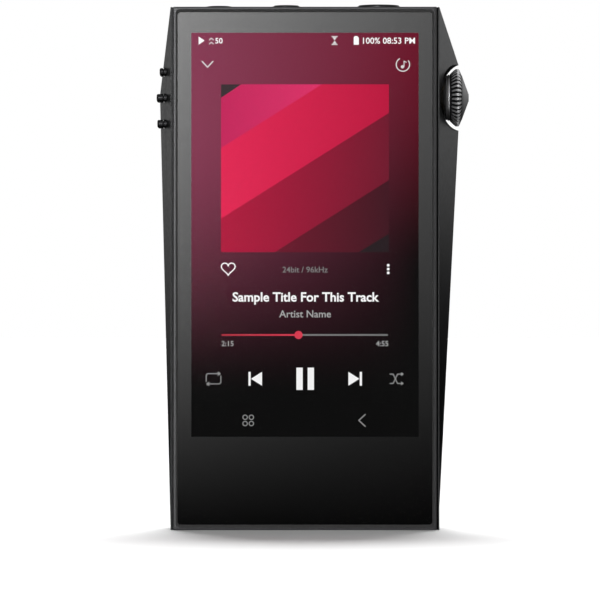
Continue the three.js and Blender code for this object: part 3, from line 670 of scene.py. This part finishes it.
def make_knurled_rim():
    x0, x1 = rim_low.x, rim_high.x
    bore = 3.0
    # Crest radius and groove depth along the axis; the grooves run out at both ends.
    stations = [
        (x0, 5.25, 0.0),
        (x0 + 0.04, 5.33, 0.2),
        (x0 + 0.35, 5.64, 0.9),
        (x0 + 0.85, 6.11, 1.0),
        (x0 + 1.27, WHEEL_RADIUS - 0.05, 1.0),
        (x0 + 1.55, WHEEL_RADIUS - 0.01, 1.0),
        (x0 + 1.9, WHEEL_RADIUS, 1.0),
        (x0 + 2.02, WHEEL_RADIUS - 0.04, 1.0),
        (x0 + 2.14, WHEEL_RADIUS - 0.24, 1.0),
        (x0 + 2.4, 5.7, 0.8),
        (x1 - 0.06, 5.36, 0.25),
        (x1, 5.25, 0.0),
    ]
    count = KNURLS * KNURL_STEPS
    loops = []
    for x, crest, share in stations:
        loop = []
        for step in range(count):
            angle = 2 * math.pi * step / count
            radius = knurl_radius(step, crest, KNURL_DEPTH * share)
            loop.append((x, radius * math.cos(angle), WHEEL_Z + radius * math.sin(angle)))
        loops.append(loop)
    loops.append(circle_loop(bore, x1, "X", WHEEL_CENTRE, count))
    loops.append(circle_loop(bore, x0, "X", WHEEL_CENTRE, count))
    bm = bmesh.new()
    skin(bm, loops, ring=True)
    finished("wheel_knurled_rim", bm, "knurl_metal", "volume_wheel", ["wheel_rim"], angle=50)


def make_wheel_cap():
    """The outer cone with its small flat tip."""
    tip = cap_high.x
    base = rim_high.x + 0.02
    profile = [
        (0.0, cap_low.x + 1.5),
        (1.06, cap_low.x + 1.5),
        (1.06, cap_low.x),
        (2.95, cap_low.x),
        (2.95, base),
        (5.0, base),
        (5.1, base + 0.04),
        (4.98, base + 0.12),
        (1.25, tip - 0.16),
        *arc(0.78, tip - 0.3, 0.3, 35, 90, 4),
        (0.0, tip),
    ]
    bm = turned(profile, "X", WHEEL_CENTRE, steps=96)
    finished("wheel_outer_cone", bm, "wheel_metal", "volume_wheel", ["wheel_cap"])


# ---------------------------------------------------------------- buttons


def pill_loop(half_length, half_height, x, centre_z, steps=8):
    """A bar with round ends in Y and Z, at one X."""
    points = []
    for side in (1, -1):
        for i in range(steps + 1):
            angle = math.radians(-90 + 180 * i / steps) if side > 0 else math.radians(90 + 180 * i / steps)
            y = side * (half_length - half_height) + half_height * math.cos(angle)
            points.append((x, y, centre_z + half_height * math.sin(angle)))
    return points


def make_side_button(name):
    """A bar in two steps: the outer cap, a fine waist, and the base that shows on the facet."""
    low, high = node_box(f"{name}_button")
    centre_z = (low.z + high.z) / 2
    tip = low.x
    flange = high.x
    waist = -31.95
    inside = -27.8
    length, height = high.y - 0.7, (high.z - low.z) / 2 - 0.6
    stations = [
        (0.75, 0.45, tip),
        (0.3, 0.12, tip + 0.07),
        (0.14, 0.03, tip + 0.22),
        (0.1, 0.0, tip + 0.45),
        (0.1, 0.0, waist - 0.16),
        (0.2, 0.08, waist - 0.08),
        (0.34, 0.22, waist - 0.04),
        (0.34, 0.22, waist + 0.04),
        (0.1, 0.08, waist + 0.08),
        (0.0, 0.0, waist + 0.18),
        (0.0, 0.0, inside),
        (-0.7, -0.6, inside),
        (-0.7, -0.6, flange),
    ]
    loops = [pill_loop(length - a, height - b, x, centre_z) for a, b, x in stations]
    bm = bmesh.new()
    skin(bm, loops)
    finished(
        f"{name}_key_cap", bm, "button_metal", f"{name}_key", [f"{name}_button"], angle=40
    )


def make_power_button():
    low, high = node_box("power_button")
    centre = ((low.x + high.x) / 2, (low.y + high.y) / 2)
    top = high.z
    radius = 2.75
    profile = [
        (0.0, low.z),
        (3.4, low.z),
        (3.4, low.z + 0.6),
        (radius, low.z + 0.6),
        (radius, top - 0.3),
        *arc(radius - 0.3, top - 0.3, 0.3, 15, 90, 5),
        (radius - 0.75, top - 0.02),
        (1.7, top - 0.12),
        (0.8, top - 0.19),
        (0.0, top - 0.21),
    ]
    bm = turned(profile, "Z", centre, steps=64)
    finished("power_key_cap", bm, "button_metal", "power_key", ["power_button"], angle=40)


# ---------------------------------------------------------------- sockets


def make_collar(socket):
    low, high = node_box(f"{socket}_collar")
    centre = ((low.x + high.x) / 2, (low.y + high.y) / 2)
    radius = (high.x - low.x) / 2
    bore = {"headphone": 1.85, "balanced": 2.3}[socket]
    top = high.z
    profile = [
        (bore, low.z),
        (radius, low.z),
        (radius, top - 0.36),
        (radius - 0.05, top - 0.3),
        (radius - 0.33, top - 0.02),
        (radius - 0.4, top),
        (bore + 0.62, top),
        (bore + 0.5, top - 0.08),
        (bore + 0.12, top - 0.3),
        (bore, top - 0.42),
    ]
    bm = turned(profile, "Z", centre, ring=True, steps=96)
    finished(
        f"{socket}_ring", bm, "collar_metal", "player_body", [f"{socket}_collar"], angle=25
    )


def make_contacts(socket):
    """Sprung gold contacts inside a socket's bore."""
    low, high = node_box(f"{socket}_collar")
    centre_x, centre_y = (low.x + high.x) / 2, (low.y + high.y) / 2
    bore = {"headphone": 1.8, "balanced": 2.25}[socket]
    count = {"headphone": 4, "balanced": 5}[socket]
    bm = bmesh.new()
    for i in range(count):
        turn = 2 * math.pi * (i + 0.25) / count
        depth = high.z - 2.2 - 1.5 * i
        blade = [(-0.3, -1.2), (-0.3, 1.2), (0.3, 1.2), (0.3, -1.2)]
        rows = []
        for reach in (bore - 0.03, bore - 0.28):
            rows.append([
                (
                    centre_x + reach * math.cos(turn) - across * math.sin(turn),
                    centre_y + reach * math.sin(turn) + across * math.cos(turn),
                    depth + along * (0.6 if reach < bore - 0.1 else 1.0),
                )
                for across, along in blade
            ])
        skin(bm, rows)
    finished(f"{socket}_contacts", bm, "plated_metal", "player_body")


def make_usb_contacts():
    """Twelve plated strips on each face of the tongue."""
    low, high = node_box("usb_c_tongue")
    count, pitch, strip = 12, 0.5, 0.16
    proud = 0.03
    bm = bmesh.new()
    for face_y, out in ((low.y, -1), (high.y, 1)):
        for i in range(count):
            x = (i - (count - 1) / 2) * pitch
            near, far = face_y + out * 0.005, face_y + out * proud
            z0, z1 = low.z + 0.25, low.z + 3.2
            outline = [(x - strip, z0), (x - strip, z1), (x + strip, z1), (x + strip, z0)]
            skin(bm, [[(u, y, v) for u, v in outline] for y in (near, far)])
    finished("usb_c_contacts", bm, "plated_metal", "player_body")


# ---------------------------------------------------------------- the picture


def flat_piece(name, outlines, y, material, thickness=0.02):
    """Thin raised shapes of the picture. Each outline is a list of (x, z) points."""
    bm = bmesh.new()
    for outline in outlines:
        skin(bm, [[(x, depth, z) for x, z in outline] for depth in (y, y + thickness)])
    bmesh.ops.triangulate(bm, faces=[f for f in bm.faces if len(f.verts) > 4])
    return finished(name, bm, material, "player_body")


def stroke(points, width, closed=False):
    """The outlines of a line of a given width along points: one quadrilateral for each stretch."""
    outlines = []
    pairs = list(zip(points, points[1:])) + ([(points[-1], points[0])] if closed else [])
    for (x0, z0), (x1, z1) in pairs:
        length = math.hypot(x1 - x0, z1 - z0)
        ux, uz = (x1 - x0) / length, (z1 - z0) / length
        nx, nz = -uz * width / 2, ux * width / 2
        grow = width * 0.35
        ax, az = x0 - ux * grow, z0 - uz * grow
        bx, bz = x1 + ux * grow, z1 + uz * grow
        outlines.append([(ax + nx, az + nz), (ax - nx, az - nz), (bx - nx, bz - nz), (bx + nx, bz + nz)])
    return outlines


def disc(x, z, radius, steps=24):
    angles = [2 * math.pi * i / steps for i in range(steps)]
    return [(x + radius * math.cos(a), z + radius * math.sin(a)) for a in angles]


def ring_stroke(x, z, radius, width, start=0, end=360, steps=20):
    points = []
    for i in range(steps + 1):
        angle = math.radians(start + (end - start) * i / steps)
        points.append((x + radius * math.cos(angle), z + radius * math.sin(angle)))
    return stroke(points, width)


def rectangle(x0, z0, x1, z1):
    return [(x0, z0), (x1, z0), (x1, z1), (x0, z1)]


def make_backdrop():
    overlap, thickness = 0.4, 0.03
    half_width, half_height = SCREEN_HALF_WIDTH + overlap, SCREEN_HALF_HEIGHT + overlap
    bm = bmesh.new()
    skin(bm, [
        rounded_loop(half_width, half_height, 0.3, y, SCREEN_CENTRE_Z, 2)
        for y in (PICTURE_Y, PICTURE_Y + thickness)
    ])
    finished("picture_backdrop", bm, "backdrop", "player_body", ["touch_sensor"])


ART_LEFT, ART_RIGHT, ART_LOW, ART_HIGH = -18.86, 18.86, 62.4, 100.1


def make_cover_art():
    """A plain abstract cover: tilted bands in reds, with two charcoal corners."""
    width, height = ART_RIGHT - ART_LEFT, ART_HIGH - ART_LOW

    def at(u, v):
        return ART_LEFT + u * width, ART_LOW + v * height

    def layer(name, corners, first, second, axis="X", lift=0.006):
        low, high = (ART_LEFT, ART_RIGHT) if axis == "X" else (ART_LOW, ART_HIGH)
        materials[name] = lit(name, between(srgb(*first), srgb(*second), axis, low, high))
        flat_piece(name, [[at(u, v) for u, v in corners]], ART_Y - lift, name)

    layer("art_ground", [(0, 0), (1, 0), (1, 1), (0, 1)], (70, 26, 40), (150, 36, 66), "Z", 0.0)
    layer("art_band_1", [(0, 0.62), (0.6, 1), (0.12, 1), (0, 0.92)], (196, 40, 92), (232, 58, 112))
    layer("art_band_2", [(0, 0.2), (1, 0.83), (1, 1), (0.6, 1), (0, 0.62)], (226, 40, 84), (186, 24, 62))
    layer("art_band_3", [(0, 0), (0.32, 0), (1, 0.43), (1, 0.83), (0, 0.2)], (176, 26, 62), (112, 26, 46))
    layer("art_band_4", [(0.32, 0), (0.82, 0), (1, 0.11), (1, 0.43)], (122, 28, 50), (64, 24, 34))
    layer("art_corner", [(0.82, 0), (1, 0), (1, 0.11)], (48, 42, 44), (40, 30, 34))
    layer("art_top_corner", [(0, 0.92), (0.12, 1), (0, 1)], (60, 50, 54), (52, 40, 46))


def text_piece(name, words, x, z, size, material, align="CENTER", bold=0.0):
    """Flat lettering with its baseline at z."""
    curve = bpy.data.curves.new(name, "FONT")
    curve.body = words
    curve.size = size * MM
    curve.align_x = align
    curve.offset = bold * MM
    curve.extrude = 0.008 * MM
    curve.resolution_u = 3
    drawn = bpy.data.objects.new(name, curve)
    upright = Matrix.Rotation(math.pi / 2, 4, "X")
    drawn.matrix_world = Matrix.Translation(Vector((x, ICON_Y, z)) * MM) @ upright
    bpy.context.scene.collection.objects.link(drawn)
    bpy.context.view_layer.update()
    mesh = bpy.data.meshes.new_from_object(drawn.evaluated_get(bpy.context.evaluated_depsgraph_get()))
    mesh.transform(drawn.matrix_world)
    bpy.data.objects.remove(drawn)
    bm = bmesh.new()
    bm.from_mesh(mesh)
    bpy.data.meshes.remove(mesh)
    bmesh.ops.remove_doubles(bm, verts=bm.verts, dist=0.0005 * MM)
    return finished(name, bm, material, "player_body")


def make_status_bar():
    play = [(-23.9, 110.85), (-23.9, 109.0), (-22.55, 109.93)]
    battery = [
        (10.95, 109.0), (12.1, 109.0), (12.1, 110.65), (11.85, 110.65),
        (11.85, 110.95), (11.2, 110.95), (11.2, 110.65), (10.95, 110.65),
    ]
    flat_piece("status_icons", [play, battery], ICON_Y, "white_light")
    glass_bars = [rectangle(5.95, z, 7.35, z + 0.2) for z in (108.95, 110.75)]
    cones = [[(6.15, z), (7.15, z), (6.65, 109.95)] for z in (110.7, 109.2)]
    flat_piece("timer_icon", [*glass_bars, *cones], ICON_Y, "grey_light")
    arrows = [[(-21.5, z), (-21.03, z + 0.45), (-20.56, z)] for z in (109.15, 110.05)]
    flat_piece("gain_icon", [part for arrow in arrows for part in stroke(arrow, 0.2)], ICON_Y, "grey_light")
    text_piece("volume_digits", "50", -19.35, 109.3, 1.75, "white_light", bold=0.03)
    text_piece("clock_digits", "100% 08:53 PM", 18.75, 109.25, 1.95, "white_light", bold=0.02)


def make_top_row():
    chevron = stroke([(-23.1, 105.25), (-21.9, 103.95), (-20.7, 105.25)], 0.28)
    flat_piece("close_icon", chevron, ICON_Y, "grey_light")
    centre_x, centre_z, radius = 22.0, 104.55, 1.5
    ring = ring_stroke(centre_x, centre_z, radius, 0.24, 120, 395)
    stem = centre_x + 0.25
    note = stroke([(stem, centre_z - 0.5), (stem, centre_z + 0.75), (stem + 0.55, centre_z + 0.5)], 0.2)
    head = disc(centre_x - 0.1, centre_z - 0.5, 0.38, 12)
    flat_piece("list_icon", [*ring, *note, head], ICON_Y, "grey_light")


def heart_points(x, z, size, steps=36):
    points = []
    for i in range(steps):
        t = 2 * math.pi * i / steps
        across = 16 * math.sin(t) ** 3
        up = 13 * math.cos(t) - 5 * math.cos(2 * t) - 2 * math.cos(3 * t) - math.cos(4 * t)
        points.append((x + across * size / 32, z + (up + 2) * size / 32))
    return points


def make_track_lines():
    heart = stroke(heart_points(-17.25, 58.6, 3.1), 0.26, closed=True)
    flat_piece("like_icon", heart, ICON_Y, "white_light")
    dots = [disc(18.7, z, 0.32, 14) for z in (59.45, 58.6, 57.75)]
    flat_piece("menu_dots", dots, ICON_Y, "white_light")
    text_piece("format_words", "24bit / 96kHz", 0.0, 57.85, 1.85, "dim_light", bold=0.02)
    text_piece("title_words", "Sample Title For This Track", 0.05, 51.35, 2.9, "white_light", bold=0.07)
    text_piece("artist_words", "Artist Name", 0.05, 47.75, 2.3, "grey_light", bold=0.02)


def make_progress_bar():
    line_z, half = 43.8, 0.2
    knob_x = -1.46
    track = rectangle(-18.75, line_z - half, 18.6, line_z + half)
    flat_piece("progress_track", [track], ICON_Y + 0.02, "dim_light")
    played = rectangle(-18.75, line_z - half, knob_x, line_z + half)
    flat_piece("progress_played", [played], ICON_Y, "red_light")
    flat_piece("progress_knob", [disc(knob_x, line_z, 0.92)], ICON_Y - 0.03, "red_light")
    text_piece("time_played", "2:15", -18.8, 41.3, 1.65, "grey_light", "LEFT", 0.03)
    text_piece("time_total", "4:55", 18.8, 41.3, 1.65, "grey_light", "RIGHT", 0.03)


def skip_icon(x, side):
    """A bar and a triangle; side is +1 for next and -1 for previous."""
    half = 1.55
    middle = 33.95
    back = x - side * half
    triangle = [(back, middle + half), (back, middle - half), (x + side * 0.95, middle)]
    low, high = sorted((x + side * 1.0, x + side * 1.5))
    return [triangle, rectangle(low, middle - half, high, middle + half)]


def arrow_head(x, z, side, size=0.55):
    return [(x, z + size), (x, z - size), (x + side * size * 1.3, z)]


def make_transport_row():
    middle = 33.95
    pause = [rectangle(x, middle - 2.5, x + 1.42, middle + 2.5) for x in (-1.93, 0.6)]
    flat_piece("transport_icons", [*pause, *skip_icon(-11.2, -1), *skip_icon(11.3, 1)], ICON_Y, "white_light")
    line = 0.2
    repeat = stroke([(-20.8, 35.1), (-21.9, 35.1), (-22.2, 34.7), (-22.2, 33.3)], line)
    repeat += stroke([(-20.3, 32.8), (-19.2, 32.8), (-18.9, 33.2), (-18.9, 34.6)], line)
    repeat += stroke([(-20.8, 35.1), (-19.6, 35.1)], line) + stroke([(-20.3, 32.8), (-21.5, 32.8)], line)
    repeat += [arrow_head(-19.6, 35.1, 1), arrow_head(-21.5, 32.8, -1)]
    low, high, left, right = 32.9, 35.0, 19.1, 21.6
    shuffle = stroke([(left, low), (left + 0.7, low), (right - 0.8, high), (right, high)], line)
    shuffle += stroke([(left, high), (left + 0.7, high), (right - 0.8, low), (right, low)], line)
    shuffle += [arrow_head(right, high, 1, 0.45), arrow_head(right, low, 1, 0.45)]
    flat_piece("mode_icons", repeat + shuffle, ICON_Y, "grey_light")


def make_navigation_row():
    rings = []
    for x in (-13.45, -12.05):
        for z in (23.9, 25.3):
            rings += ring_stroke(x, z, 0.5, 0.2, steps=14)
    back = stroke([(13.55, 25.95), (12.1, 24.6), (13.55, 23.25)], 0.24)
    flat_piece("navigation_icons", rings + back, ICON_Y, "grey_light")


# ---------------------------------------------------------------- CAD nodes that stay


def dress_cad_nodes():
    """Each CAD node that still shows gets the material of its slot."""
    slots = {row["node"]: row["material_slot"] for row in frame["record"]["subparts"]}
    for name, node in frame["nodes"].items():
        material = materials[slots[name]]
        if not node.data.materials:
            node.data.materials.append(material)
        for place in node.material_slots:
            place.material = material


# ---------------------------------------------------------------- camera, light and floor


def make_camera():
    data = bpy.data.cameras.new("camera")
    distance = 1200.0
    frame_width = 134.7  # what the picture spans at the glass
    data.sensor_width = 36.0
    data.lens = data.sensor_width * distance / frame_width
    data.clip_start = 0.01
    data.clip_end = 50.0
    camera = bpy.data.objects.new("camera", data)
    camera.location = Vector((-1.12, GLASS_FRONT - distance, 51.65)) * MM
    camera.rotation_euler = (math.pi / 2, 0, 0)
    bpy.context.scene.collection.objects.link(camera)
    bpy.context.scene.camera = camera


def soft_edges(tree, half_width_mm, half_height_mm):
    """1 in the middle of a panel, falling to 0 at its edges."""
    place = coordinates(tree)
    sides = []
    for axis, half in (("X", half_width_mm), ("Y", half_height_mm)):
        share = maths(tree, "DIVIDE", place[axis], half * MM)
        sides.append(maths(tree, "SUBTRACT", 1.0, maths(tree, "MULTIPLY", share, share)))
    return maths(tree, "MULTIPLY", *sides)


def card(name, centre_mm, facing_mm, width_mm, height_mm, light_of):
    """An emitting panel that the camera doesn't see. light_of(tree) gives its strength."""
    bm = bmesh.new()
    half_w, half_h = width_mm / 2, height_mm / 2
    corners = [(-half_w, -half_h), (half_w, -half_h), (half_w, half_h), (-half_w, half_h)]
    bm.faces.new([bm.verts.new(Vector((u, v, 0)) * MM) for u, v in corners])
    mesh = bpy.data.meshes.new(name)
    bm.to_mesh(mesh)
    bm.free()
    material, tree, shader = new_material(name)
    tree.nodes.remove(shader)
    glow = tree.nodes.new("ShaderNodeEmission")
    strength = maths(tree, "MULTIPLY", light_of(tree), soft_edges(tree, half_w, half_h))
    tree.links.new(strength, glow.inputs["Strength"])
    tree.links.new(glow.outputs[0], tree.nodes["Material Output"].inputs["Surface"])
    mesh.materials.append(material)
    panel = bpy.data.objects.new(name, mesh)
    centre = Vector(centre_mm)
    direction = (Vector(facing_mm) - centre).normalized()
    turn = direction.to_track_quat("Z", "Y").to_matrix().to_4x4()
    panel.matrix_world = Matrix.Translation(centre * MM) @ turn
    panel.visible_camera = False
    panel.visible_shadow = False
    bpy.context.scene.collection.objects.link(panel)
    return panel


def fading(axis, dark_mm, bright_mm, strength, power=1.0, side_axis=None, side_fade_mm=0.0):
    """A strength that grows from 0 at dark_mm to its full value at bright_mm along a panel's own
    axis, by a power of the way between them, and falls off exponentially along side_axis."""
    def light_of(tree):
        share = maths(tree, "POWER", share_along(tree, axis, dark_mm, bright_mm), power)
        level = maths(tree, "MULTIPLY", share, strength)
        if side_axis is None:
            return level
        steps = maths(tree, "DIVIDE", coordinates(tree)[side_axis], side_fade_mm * MM)
        return maths(tree, "MULTIPLY", level, maths(tree, "EXPONENT", steps))

    return light_of


def make_lights():
    # Behind the camera, for the soft gradient in the cover glass.
    card("front_card", (0, -1500, 58), (0, 0, 58), 900, 900, fading("Y", -130, 137, 3.15, 1.5, "X", 125))
    # Beside and behind the player, for the side facets.
    card("left_card", (-150, 150, 90), (-20, 0, 60), 240, 260, fading("Y", -80, 0, 0.48))
    card("right_card", (170, 130, 90), (20, 0, 70), 220, 260, fading("Y", -40, 70, 2.1))
    # In front, high and low, for the glints on the knurl.
    card("high_card", (80, -420, 560), (34, 0, 97), 260, 260, fading("Y", -400, 130, 3.0))
    card("low_card", (80, -420, -360), (34, 0, 97), 260, 260, fading("Y", -400, 130, 3.0))
    sun = bpy.data.lights.new("sun", "SUN")
    sun.energy = 4.2
    sun.angle = math.radians(28)
    lamp = bpy.data.objects.new("sun", sun)
    lamp.rotation_euler = Vector((0.0, 0.56, 0.83)).to_track_quat("Z", "Y").to_euler()
    lamp.visible_glossy = False
    bpy.context.scene.collection.objects.link(lamp)


def make_world():
    """White to the camera. As light it is a dim room, brighter overhead and in front."""
    world = bpy.data.worlds.new("studio")
    world.use_nodes = True
    tree = world.node_tree
    background = tree.nodes["Background"]
    background.inputs["Color"].default_value = (1, 1, 1, 1)
    path = tree.nodes.new("ShaderNodeLightPath")
    place = tree.nodes.new("ShaderNodeTexCoord")
    split = tree.nodes.new("ShaderNodeSeparateXYZ")
    tree.links.new(place.outputs["Generated"], split.inputs[0])
    sky = spread(tree, split.outputs["Z"], 0.05, 0.25, -0.1, 1.0)
    front = spread(tree, split.outputs["Y"], 0.0, 1.0, -0.1, -1.0)
    room = maths(tree, "MULTIPLY_ADD", maths(tree, "POWER", front, 2.0), 0.6, sky)
    shown = maths(tree, "MAXIMUM", path.outputs["Is Camera Ray"], room)
    tree.links.new(shown, background.inputs["Strength"])
    bpy.context.scene.world = world


def make_floor():
    size = 6000.0
    bm = bmesh.new()
    corners = [(-1, -1), (1, -1), (1, 1), (-1, 1)]
    bm.faces.new([bm.verts.new((x * size * MM, y * size * MM, 0)) for x, y in corners])
    mesh = bpy.data.meshes.new("floor")
    bm.to_mesh(mesh)
    bm.free()
    mesh.materials.append(surface("floor", (0.92, 0.92, 0.92), 0.0, 0.8, 40.0, 0.01, 0.01))
    floor = bpy.data.objects.new("floor", mesh)
    floor.location.z = -0.05 * MM
    floor.visible_glossy = False
    floor.visible_diffuse = False
    bpy.context.scene.collection.objects.link(floor)


# ---------------------------------------------------------------- the scene

make_camera()
make_housing()
make_front_rim()
make_cover_glass()
make_glass_bead()
make_ink()
make_back_plate()
# The black sheet in the groove is painted shade.
make_groove_shade_sheet()
make_wheel_hub()
make_accent_ring()
make_knurled_rim()
make_wheel_cap()
for key in ("previous", "play", "next"):
    make_side_button(key)
make_power_button()
for socket in ("headphone", "balanced"):
    make_collar(socket)
    make_contacts(socket)
make_usb_contacts()
make_backdrop()
make_cover_art()
make_status_bar()
make_top_row()
make_track_lines()
make_progress_bar()
make_transport_row()
make_navigation_row()
dress_cad_nodes()
make_world()
make_lights()
make_floor()
bpy.context.scene.view_settings.view_transform = "Standard"
